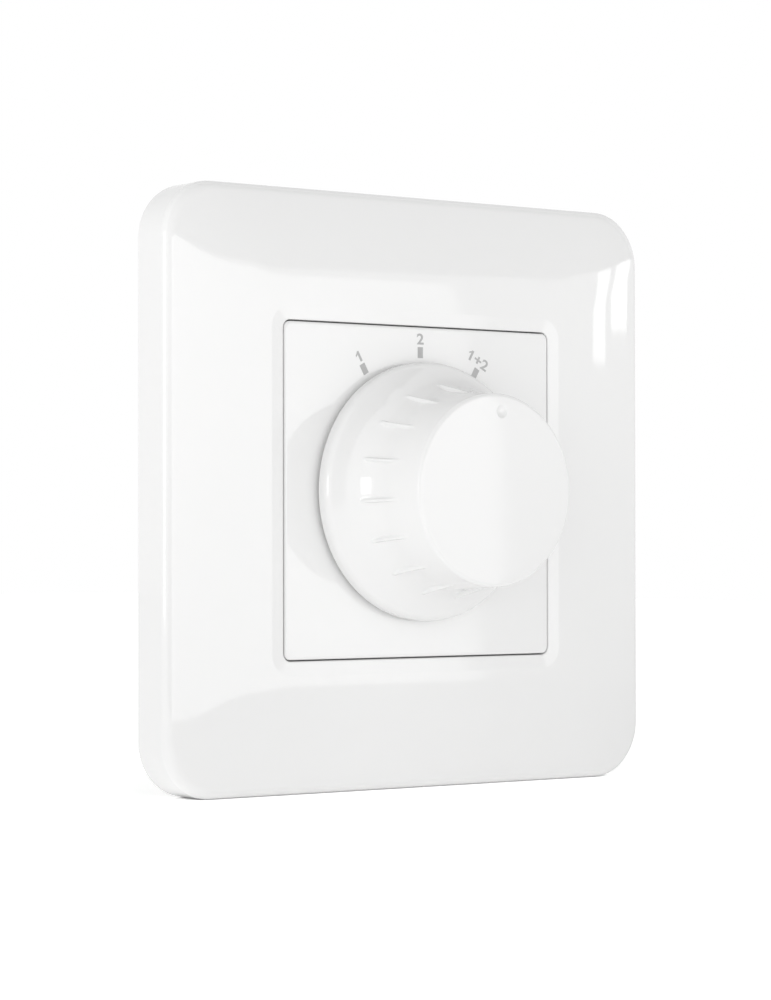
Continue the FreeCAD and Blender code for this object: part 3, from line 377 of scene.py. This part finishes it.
def soften(corners, support=0.00016, steps=5):
    """Round the corners of a closed profile. A corner is (half width, height, corner radius,
    round). Its arc is the rational curve from a point on the side before it to one on the
    side after it, both as far off as the round over the tangent of half the corner's angle.
    A support point on each side keeps the flats flat. A corner without a round stays."""
    table = np.asarray(corners, dtype=float)
    places, rounds = table[:, :-1], table[:, -1]
    share = np.linspace(0, 1, steps)[:, None]
    result = []
    for place, before, after, radius in zip(places, np.roll(places, 1, 0), np.roll(places, -1, 0),
                                            rounds):
        if radius == 0:
            result.append(place[None])
            continue
        back, ahead = before - place, after - place
        back = back / np.hypot(*back[:2])
        ahead = ahead / np.hypot(*ahead[:2])
        half_angle = math.acos(np.clip(back[:2] @ ahead[:2], -1, 1)) / 2
        reach = radius / math.tan(half_angle)
        weight = math.sin(half_angle)
        first, last = place + back * reach, place + ahead * reach
        parts = (1 - share) ** 2, 2 * share * (1 - share) * weight, share ** 2
        arc = (parts[0] * first + parts[1] * place + parts[2] * last) / sum(parts)
        result += [(first + back * support)[None], arc, (last + ahead * support)[None]]
    return np.vstack(result)


def grid_faces(rows, columns, closed):
    """Quads between neighbouring rows and columns of a grid. The columns run round and meet,
    and so do the rows where closed is set."""
    index = np.arange(rows * columns).reshape(rows, columns)
    near = index if closed else index[:-1]
    far = np.roll(index, -1, axis=0) if closed else index[1:]
    quads = np.stack([near, far, np.roll(far, -1, axis=1), np.roll(near, -1, axis=1)], axis=-1)
    return quads.reshape(-1, 4)


def make_piece(name, points, faces, finish, smooth=True):
    """Put points and faces into a mesh, turn its normals outward and give it its finish."""
    mesh = bpy.data.meshes.new(name)
    mesh.from_pydata(points.reshape(-1, 3).tolist(), [], [tuple(face) for face in faces])
    shell = bmesh.new()
    shell.from_mesh(mesh)
    bmesh.ops.remove_doubles(shell, verts=shell.verts, dist=1e-7)
    bmesh.ops.recalc_face_normals(shell, faces=shell.faces)
    shell.to_mesh(mesh)
    shell.free()
    mesh.polygons.foreach_set("use_smooth", [smooth] * len(mesh.polygons))
    mesh.materials.append(finish)
    piece = bpy.data.objects.new(name, mesh)
    bpy.context.scene.collection.objects.link(piece)
    return piece


frame_half, frame_corner, edge_height, front_height = 0.0405, 0.0075, 0.0068, 0.0079
frame_wall, roof_height, lip_height = 0.0022, 0.0049, 0.0036
opening_half, opening_corner, ridge_half, ridge_corner = 0.0227, 0.0012, 0.0246, 0.003
lip_half, collar_half, bevel_depth = 0.0208, 0.0248, 0.00013
hair_round, edge_round, ridge_round = 0.00015, 0.0013, 0.0003
edge_reach, ridge_reach = 0.0016, 0.0006


def dome_profile(samples=30):
    """The frame's front from its edge to the ridge: a cubic through the heights of four
    sections, with the corner radius falling evenly from one section to the next."""
    insets = np.array([0.0, 0.0045, 0.010, frame_half - ridge_half])
    heights = np.array([edge_height, 0.0074, 0.00777, front_height])
    corners = np.array([frame_corner, 0.0066, 0.0048, ridge_corner])
    inset = np.linspace(edge_reach, insets[-1] - ridge_reach, samples)
    height = np.polyval(np.polyfit(insets * 1e3, heights * 1e3, 3), inset * 1e3) / 1e3
    corner = np.interp(inset, insets, corners)
    return [(frame_half - i, h, c, 0) for i, h, c in zip(inset, height, corner)]


inner_half, inner_corner = frame_half - frame_wall, frame_corner - frame_wall
frame_profile = soften([
    (frame_half, 0, frame_corner, hair_round),
    (frame_half, edge_height, frame_corner, edge_round),
    *dome_profile(),
    (ridge_half, front_height, ridge_corner, ridge_round),
    (opening_half, front_height - bevel_depth, opening_corner, hair_round),
    (opening_half, roof_height, opening_corner, hair_round),
    (lip_half, roof_height, opening_corner, hair_round),
    (lip_half, lip_height, opening_corner, hair_round),
    (collar_half, lip_height, ridge_corner, hair_round),
    (collar_half, roof_height, ridge_corner, hair_round),
    (inner_half, roof_height, inner_corner, hair_round),
    (inner_half, 0, inner_corner, hair_round),
])
frame_points = carry_round(frame_profile)
frame_quads = grid_faces(*frame_points.shape[:2], closed=True)


box_sides = np.array([[0, 1, 3, 2], [4, 6, 7, 5], [0, 4, 5, 1],
                      [2, 3, 7, 6], [0, 2, 6, 4], [1, 5, 7, 3]])


def frame_ribs(offset=0.018, thickness=0.0012, inner=0.0358, outer=0.0386):
    """Eight boxes, two to a side, from the ends at the bracket into the wall and the roof."""
    corner = np.array([[i, j, k] for i in (0, 1) for j in (0, 1) for k in (0, 1)], dtype=float)
    low = np.array([-thickness / 2, -(roof_height + 0.0002), inner])
    high = np.array([thickness / 2, 0.0, outer])
    box = low + corner * (high - low)
    boxes = np.stack([box + (side * offset, 0, 0) for side in (-1, 1)])
    turned = [boxes]
    for _ in range(3):
        last = turned[-1]
        turned.append(np.stack([last[..., 2], last[..., 1], -last[..., 0]], axis=-1))
    points = np.concatenate(turned).reshape(-1, 3)
    corners = len(corner)
    first = corners * np.arange(len(points) // corners)[:, None, None]
    return points, (box_sides[None] + first).reshape(-1, 4)


rib_points, rib_quads = frame_ribs()
outer_frame = make_piece(
    "frame_moulding",
    np.vstack([frame_points.reshape(-1, 3), rib_points]),
    np.vstack([frame_quads, rib_quads + frame_points.shape[0] * frame_points.shape[1]]),
    gloss_white("frame_gloss_white", 0.91),
)
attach(outer_frame, "wall_unit")
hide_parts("outer_frame")


# Centre plate: a square white moulding, hollow behind inside a skirt, with a boss round the
# bush. The second nut clamps it, and its skirt presses the frame's lip to the wall.
plate_half, plate_corner, plate_round, plate_back = 0.0225, 0.0009, 0.00025, 0.0059
skirt_half, hole_radius, boss_radius, boss_height = 0.0212, 0.0052, 0.0075, 0.0035
plate_profile = soften([
    (hole_radius, front_height, hole_radius, hair_round),
    (plate_half, front_height, plate_corner, plate_round),
    (plate_half, roof_height, plate_corner, hair_round),
    (skirt_half, roof_height, plate_corner, hair_round),
    (skirt_half, plate_back, plate_corner, hair_round),
    (boss_radius, plate_back, boss_radius, hair_round),
    (boss_radius, boss_height, boss_radius, hair_round),
    (hole_radius, boss_height, hole_radius, hair_round),
])
round_rows = plate_profile[:, 0] < boss_radius + 0.0004
plate_profile[round_rows, 2] = plate_profile[round_rows, 0]
plate_points = carry_round(plate_profile)
centre_plate = make_piece("plate_moulding", plate_points,
                          grid_faces(*plate_points.shape[:2], closed=True),
                          gloss_white("plate_gloss_white", 0.91))
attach(centre_plate, "wall_unit")
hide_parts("centre_plate")


# Position marks: three short bars and the numbers of the speaker pairs that are on, printed
# in pale grey ink. Each stands on its own radius, square to it.
def printed_ink():
    """Pale grey ink, slightly uneven where the pad lifted, duller than the moulding."""
    finish = Finish(bpy.data.materials.new("pale_grey_ink"))
    patch = finish.noise(1800.0, 3.0)
    colour = finish.blend(patch, (0.45, 0.45, 0.45, 1), (0.56, 0.56, 0.56, 1))
    return finish.surface(colour, 0.3 + patch * 0.2, finish.bump(patch, 0.000002), IOR=1.45)


def on_radius(flat, degrees, radius):
    """Flat points (across, outward, proud) set on a radius that many degrees clockwise of the
    top: x = across cos a + outward sin a, z = outward cos a - across sin a."""
    turn = math.radians(degrees)
    across, outward = flat[:, 0], flat[:, 1] + radius
    x = across * math.cos(turn) + outward * math.sin(turn)
    z = outward * math.cos(turn) - across * math.sin(turn)
    return np.stack([x, -(front_height + flat[:, 2]), z], axis=-1)


mark_proud = 0.00002
mark_sets = []
mark_faces = []


def add_mark(points, faces):
    """Keep one mark's points and faces for the joint mesh."""
    start = sum(len(earlier) for earlier in mark_sets)
    mark_sets.append(points)
    mark_faces.extend([[start + corner for corner in face] for face in faces])


bar_half, bar_length, bar_radius = 0.00045, 0.0015, 0.0183
bar = np.array([[i * bar_half, j * bar_length, k * mark_proud]
                for i in (-1, 1) for j in (0, 1) for k in (0, 1)])
for degrees in (-30, 0, 30):
    add_mark(on_radius(bar, degrees, bar_radius), box_sides)

number_radius, number_height, number_stretch = 0.0202, 0.0015, 1.2
flag_of_one = np.array([(-0.00036, -0.00044), (0.0, -0.00018),
                        (-0.00036, -0.00068), (0.0, -0.00044)])
# The font's figure one is a bare stroke, so a slanted flag is added to its head
for text, degrees in (("1", -29.5), ("2", 0), ("1+2", 29.3)):
    curve = bpy.data.curves.new("mark_text", "FONT")
    curve.body = text
    curve.align_x = "CENTER"
    curve.extrude = 0.02
    curve.offset = 0.022
    curve.resolution_u = 6
    holder = bpy.data.objects.new("mark_text", curve)
    bpy.context.scene.collection.objects.link(holder)
    bpy.context.view_layer.update()
    glyphs = bpy.data.meshes.new_from_object(holder)
    spots = np.empty(len(glyphs.vertices) * 3)
    glyphs.vertices.foreach_get("co", spots)
    spots = spots.reshape(-1, 3)
    digits = spots[:, 1]
    scale = number_height / (digits.max() - min(digits.min(), 0.0))
    proud = np.where(spots[:, 2] > 0, mark_proud, 0.0)
    middle = (spots[:, 0].max() + spots[:, 0].min()) / 2
    across = (spots[:, 0] - middle) * scale * number_stretch
    flat = np.stack([across, digits * scale, proud], axis=-1)
    outlines = [list(polygon.vertices) for polygon in glyphs.polygons]
    add_mark(on_radius(flat, degrees, number_radius), outlines)
    if text.startswith("1"):
        stroke = np.repeat(flag_of_one + (flat[:, 0].min(), number_height), 2, axis=0)
        stroke = np.hstack([stroke, np.tile([[0.0], [mark_proud]], (4, 1))])
        add_mark(on_radius(stroke, degrees, number_radius), box_sides)
    bpy.data.objects.remove(holder)
    bpy.data.curves.remove(curve)
    bpy.data.meshes.remove(glyphs)

position_marks = make_piece("position_marks", np.vstack(mark_sets), mark_faces, printed_ink(),
                            smooth=False)
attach(position_marks, "wall_unit")


# Knob: a white gloss shell on the shaft's flat. Its waist has sixteen thin fins for the
# fingers, its rim flares to cover the nut, and a dimple in its face points at the marks.
rim_height, face_height = 0.00858, 0.02447
rim_radius, rim_round, flare, knob_wall = 0.0176, 0.0018, 0.009, 0.0017
neck_radius, neck_height = 0.0133, 0.01765
knob_face_radius, face_round = 0.01285, 0.0005
fin_count, fin_half_turn, fin_fade, pointer_turn = 16, 0.9, 0.6, 5.5
fin_start, fin_end = (0.01455, 0.01387), (0.01322, 0.01977)
dimple_place, dimple_radius, dimple_depth, dimple_half_turn = 0.0105, 0.0009, 0.00035, 6.2
plain_rows, dimple_rows = 8, 30
face_rows = plain_rows + dimple_rows
cavity_top, knob_boss, boss_start = 0.0218, 0.00475, 0.0116
bore_radius, key_reach, key_start = 0.00303, 0.00153, 0.01195
rim_edge = 0.0006

knob_columns = np.unique(np.round(np.concatenate([
    (pointer_turn + 180 / fin_count + 360 / fin_count * np.arange(fin_count))[:, None]
    + np.array([0, 0.3, 0.6, 0.8, 0.95, 1.1, 1.3, 1.6, 2.4, 3.8, 5.6, 8.4, 11.25]) * side
    for side in (-1, 1)
], axis=None) % 360, 4))
knob_columns = np.unique(np.concatenate([
    knob_columns[np.abs(knob_columns - pointer_turn) > dimple_half_turn + 0.1],
    pointer_turn + np.linspace(-dimple_half_turn, dimple_half_turn, 41),
]) % 360)
knob_turns = np.radians(knob_columns)


def knob_outside():
    """(radius, height) from the face's middle to the rim's underside: the flat face with
    close rows over the dimple, its rounded edge, a slight taper, a hollow arc into the neck's
    flare, and the rim's round, which meets the flare at a shared tangent."""
    taper = math.atan2(neck_radius - knob_face_radius, face_height - face_round - neck_height)
    flare_centre = neck_radius + flare * math.cos(taper)
    flare_height = neck_height + flare * math.sin(taper)
    rim_centre = rim_radius - rim_round
    span, step = rim_round + flare, flare_centre - rim_centre
    rise = math.sqrt(span ** 2 - step ** 2)
    meet = math.atan2(rise, step)
    face = np.concatenate([np.linspace(0.0006, 0.0088, plain_rows),
                           np.linspace(0.0094, 0.0116, dimple_rows)])
    rows = [np.stack([face, np.full(len(face), face_height)], -1)]
    turn = np.linspace(math.pi / 2, 0, 8)
    rows.append(np.stack([knob_face_radius - face_round + face_round * np.cos(turn),
                          face_height - face_round + face_round * np.sin(turn)], -1))
    side_height = np.linspace(face_height - face_round - 0.0003, neck_height, 22)
    share = (side_height - neck_height) / (face_height - face_round - neck_height)
    rows.append(np.stack([neck_radius + (knob_face_radius - neck_radius) * share, side_height], -1))
    turn = np.linspace(taper, meet, 30)[1:]
    rows.append(np.stack([flare_centre - flare * np.cos(turn),
                          flare_height - flare * np.sin(turn)], -1))
    turn = np.linspace(meet, 0, 10)[1:]
    rows.append(np.stack([rim_centre + rim_round * np.cos(turn),
                          flare_height - rise + rim_round * np.sin(turn)], -1))
    rows.append(np.array([(rim_radius, rim_height + rim_edge)]))
    return np.vstack(rows)


def knob_inside():
    """(radius, height) from the rim's underside through the cavity and down the boss, then
    up the bore to its end."""
    return soften([
        (rim_radius, rim_height, 0, hair_round),
        (rim_radius - knob_wall, rim_height, 0, hair_round),
        (rim_radius - knob_wall, rim_height + 0.001, 0, hair_round),
        (neck_radius - knob_wall, neck_height - 0.001, 0, hair_round),
        (neck_radius - knob_wall, cavity_top, 0, hair_round),
        (knob_boss, cavity_top, 0, hair_round),
        (knob_boss, boss_start, 0, hair_round),
        (bore_radius, boss_start, 0, hair_round),
        (bore_radius, cavity_top, 0, hair_round),
        (0.0, cavity_top, 0, 0),
        (0.0, face_height, 0, 0),
        (rim_radius, face_height, 0, 0),
    ])[:-3, :2]


def knob_skin():
    """The knob as radius(turn, height): the turned body, the fins' straight edge over the
    hollow waist with a soft side, the dimple's ball pressed into the face, and the bore's
    flat, which is key_reach over the cosine of the turn."""
    outside, inside = knob_outside(), knob_inside()
    rows = np.vstack([outside, inside])
    radius = np.repeat(rows[:, :1], len(knob_turns), axis=1)
    height = np.repeat(rows[:, 1:], len(knob_turns), axis=1)
    row = np.arange(len(rows))[:, None]
    waist = (row > face_rows + 2) & (row < len(outside))
    waist = waist & (height > fin_start[1]) & (height < fin_end[1])
    fin_share = (height - fin_start[1]) / (fin_end[1] - fin_start[1])
    chord = fin_start[0] + (fin_end[0] - fin_start[0]) * fin_share
    pitch = 360 / fin_count
    off_fin = np.abs((knob_columns - pointer_turn) % pitch - pitch / 2)
    side = np.clip((fin_half_turn + fin_fade - off_fin) / (2 * fin_fade), 0, 1)
    fin = side * side * (3 - 2 * side)
    radius = np.where(waist, radius + fin * np.maximum(chord - radius, 0), radius)
    across = np.radians(pointer_turn)
    away = np.hypot(radius * np.sin(knob_turns) - dimple_place * math.sin(across),
                    radius * np.cos(knob_turns) - dimple_place * math.cos(across))
    ball = (dimple_radius ** 2 + dimple_depth ** 2) / 2 / dimple_depth
    sunk = np.sqrt(np.maximum(ball ** 2 - away ** 2, 0)) - (ball - dimple_depth)
    on_face = (row < face_rows) & (away < dimple_radius)
    height = np.where(on_face, height - sunk, height)
    bored = (row >= len(outside)) & (rows[:, :1] < bore_radius + 0.0003) & (height > key_start)
    flat = np.cos(knob_turns) * bore_radius > key_reach
    chord = key_reach / np.maximum(np.cos(knob_turns), 0.1)
    radius = np.where(bored & flat, np.minimum(radius, chord), radius)
    return np.stack([radius * np.sin(knob_turns), -height, radius * np.cos(knob_turns)], axis=-1)


knob_points = knob_skin()
knob_rows, knob_row_length = knob_points.shape[:2]
first_column = np.arange(knob_row_length)
next_column = np.roll(first_column, -1)
face_middle = knob_rows * knob_row_length
bore_end = face_middle + 1
last_row = (knob_rows - 1) * knob_row_length
knob_faces = (
    grid_faces(knob_rows, knob_row_length, closed=False).tolist()
    + np.stack([np.full(knob_row_length, face_middle), first_column,
                next_column], -1).tolist()
    + np.stack([np.full(knob_row_length, bore_end), last_row + next_column,
                last_row + first_column], -1).tolist()
)
knob_vertices = np.vstack([knob_points.reshape(-1, 3),
                           [(0, -face_height, 0), (0, -cavity_top, 0)]])
knob = make_piece("knob_moulding", knob_vertices, knob_faces, gloss_white("knob_gloss_white", 0.91))
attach(knob, "selector")
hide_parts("knob")


# Studio: a white floor that keeps the switch's shadow, soft light from all round that weakens
# overhead, cards and black cloth for the gloss to mirror, and the photograph's camera.
floor_height = cad_box[0][2]
floor_mesh = bpy.data.meshes.new("floor")
floor_side, floor_front, floor_back = 1.0, -0.18, 1.5
floor_corners = ((-floor_side, floor_front), (floor_side, floor_front),
                 (floor_side, floor_back), (-floor_side, floor_back))
floor_mesh.from_pydata([(*corner, floor_height) for corner in floor_corners], [], [(0, 1, 2, 3)])
floor = bpy.data.objects.new("floor", floor_mesh)
bpy.context.scene.collection.objects.link(floor)
paper = Finish(bpy.data.materials.new("white_paper"))
camera_ray = paper.node("ShaderNodeLightPath", output="Is Camera Ray")
paper_light = paper.node("ShaderNodeBsdfDiffuse", None, {"Color": (1.33, 1.33, 1.33, 1)})
paper_seen = paper.node("ShaderNodeBsdfDiffuse", None, {"Color": (1.8, 1.8, 1.8, 1)})
paper_mix = paper.node("ShaderNodeMixShader", None, {0: camera_ray, 1: paper_light, 2: paper_seen})
paper.node("ShaderNodeOutputMaterial", None, {"Surface": paper_mix})
floor_mesh.materials.append(paper.holder)

world = Finish(bpy.data.worlds.new("studio_light"))
rays = [world.node("ShaderNodeLightPath", output=kind)
        for kind in ("Is Camera Ray", "Is Glossy Ray", "Is Transmission Ray")]
seen = world.node("ShaderNodeMath", {"operation": "MINIMUM"},
                  {0: rays[0] + rays[1] + rays[2], 1: 1.0})
# The room's light is level + lean along the direction - roof times its height squared
room_level, room_lean, room_roof = 0.57, (-0.19, 0.0, 0.9), 1.12
direction = world.node("ShaderNodeTexCoord", output="Generated")
lean = world.node("ShaderNodeVectorMath", {"operation": "DOT_PRODUCT"},
                  {0: direction, 1: room_lean}, "Value")
height = world.node("ShaderNodeVectorMath", {"operation": "DOT_PRODUCT"},
                    {0: direction, 1: (0.0, 0.0, 1.0)}, "Value")
overhead = world.node("ShaderNodeMath", {"operation": "MAXIMUM"}, {0: height, 1: 0.0})
lamp_light = world.node("ShaderNodeMath", {"operation": "MAXIMUM"},
                        {0: lean + room_level - overhead * overhead * room_roof, 1: 0.0})
strength = lamp_light * (1.0 - seen) + seen
sky = world.node("ShaderNodeBackground", None, {"Color": (1, 1, 1, 1), "Strength": strength})
world.node("ShaderNodeOutputWorld", None, {"Surface": sky})
bpy.context.scene.world = world.holder


def aim(azimuth, elevation, distance):
    """Place and turn of a card that faces the switch. Azimuth is degrees to the right of the
    way out into the room, elevation degrees above the floor."""
    across, up = math.radians(azimuth), math.radians(elevation)
    out = np.array([math.sin(across) * math.cos(up), -math.cos(across) * math.cos(up),
                    math.sin(up)])
    side = np.array([math.cos(across), math.sin(across), 0.0])
    top = np.cross(out, side)
    turned = np.eye(4)
    turned[:3, :4] = np.stack([side, top, out, out * distance], axis=1)
    return Matrix(turned.tolist())


def light_card(name, azimuths, elevations, distance, radiance, mirrored=True):
    """A soft rectangular lamp that covers those angles, seen from the switch. Where it isn't
    mirrored it lights the switch but doesn't show in the gloss."""
    middle = sum(azimuths) / 2, sum(elevations) / 2
    width = 2 * distance * math.tan(math.radians(azimuths[1] - azimuths[0]) / 2)
    height = 2 * distance * math.tan(math.radians(elevations[1] - elevations[0]) / 2)
    lamp = bpy.data.lights.new(name, "AREA")
    lamp.shape = "RECTANGLE"
    lamp.size, lamp.size_y = width, height
    lamp.energy = 4 * width * height * radiance
    holder = bpy.data.objects.new(name, lamp)
    holder.matrix_world = aim(*middle, distance)
    holder.visible_camera = False
    holder.visible_glossy = mirrored
    bpy.context.scene.collection.objects.link(holder)


light_card("front_card_right", (-12.0, 38.5), (-20.0, 9.0), 1.6, 1.0)
light_card("front_card_left", (-62.5, -12.0), (-20.0, 9.0), 1.6, 1.0, False)
light_card("side_card", (-103.0, -84.0), (-4.0, 12.0), 1.2, 3.3)
light_card("window_card_near", (46.2, 49.2), (3.9, 9.3), 2.0, 2.3)
light_card("window_card_far", (50.8, 56.4), (4.6, 10.5), 2.0, 2.5)

black = Finish(bpy.data.materials.new("black_cloth"))
black.node("ShaderNodeOutputMaterial", None,
           {"Surface": black.node("ShaderNodeBsdfDiffuse", None, {"Color": (0.0, 0.0, 0.0, 1)})})


def dark_flag(name, azimuths, elevations, distance):
    """Black cloth over a patch of a sphere about the switch, seen only in the gloss: x =
    d sin a cos e, y = -d cos a cos e, z = d sin e over the angles."""
    across = np.radians(np.linspace(*azimuths, 14))[None, :]
    up = np.radians(np.linspace(*elevations, 14))[:, None]
    points = distance * np.stack([np.sin(across) * np.cos(up), -np.cos(across) * np.cos(up),
                                  np.sin(up) + 0 * across], axis=-1)
    index = np.arange(points.shape[0] * points.shape[1]).reshape(points.shape[:2])
    quads = np.stack([index[:-1, :-1], index[:-1, 1:], index[1:, 1:], index[1:, :-1]], axis=-1)
    flag_mesh = bpy.data.meshes.new(name)
    flag_mesh.from_pydata(points.reshape(-1, 3).tolist(), [], quads.reshape(-1, 4).tolist())
    flag_mesh.materials.append(black.holder)
    flag = bpy.data.objects.new(name, flag_mesh)
    bpy.context.scene.collection.objects.link(flag)
    flag.visible_camera = flag.visible_diffuse = False
    flag.visible_shadow = flag.visible_transmission = False


dark_flag("canopy", (-58.0, 68.0), (9.3, 80.0), 1.5)
dark_flag("left_flag", (-58.0, -14.0), (-16.0, 9.3), 1.5)

camera_data = bpy.data.cameras.new("camera")
camera_data.lens = 110.46
camera_data.sensor_width = 36.0
camera_data.clip_start = 0.01
camera = bpy.data.objects.new("camera", camera_data)
bpy.context.scene.collection.objects.link(camera)
yaw, pitch, roll = (math.radians(angle) for angle in (36.639, 0.850, -0.065))
forward = np.array([math.sin(yaw) * math.cos(pitch), math.cos(yaw) * math.cos(pitch),
                    math.sin(pitch)])
right = np.array([math.cos(yaw), -math.sin(yaw), 0.0])
upward = np.cross(right, forward)
plate_mm = 0.9415e-3
stand_off, aside, below = 445.47 * plate_mm, 5.073 * plate_mm, 1.175 * plate_mm
eye = -stand_off * forward - aside * right - below * upward - np.array([0, front_height, 0])
right_rolled = right * math.cos(roll) + upward * math.sin(roll)
up_rolled = -right * math.sin(roll) + upward * math.cos(roll)
stand = np.eye(4)
stand[:3, :4] = np.stack([right_rolled, up_rolled, -forward, eye], axis=1)
camera.matrix_world = Matrix(stand.tolist())
bpy.context.scene.camera = camera

bpy.context.scene.view_settings.view_transform = "Standard"
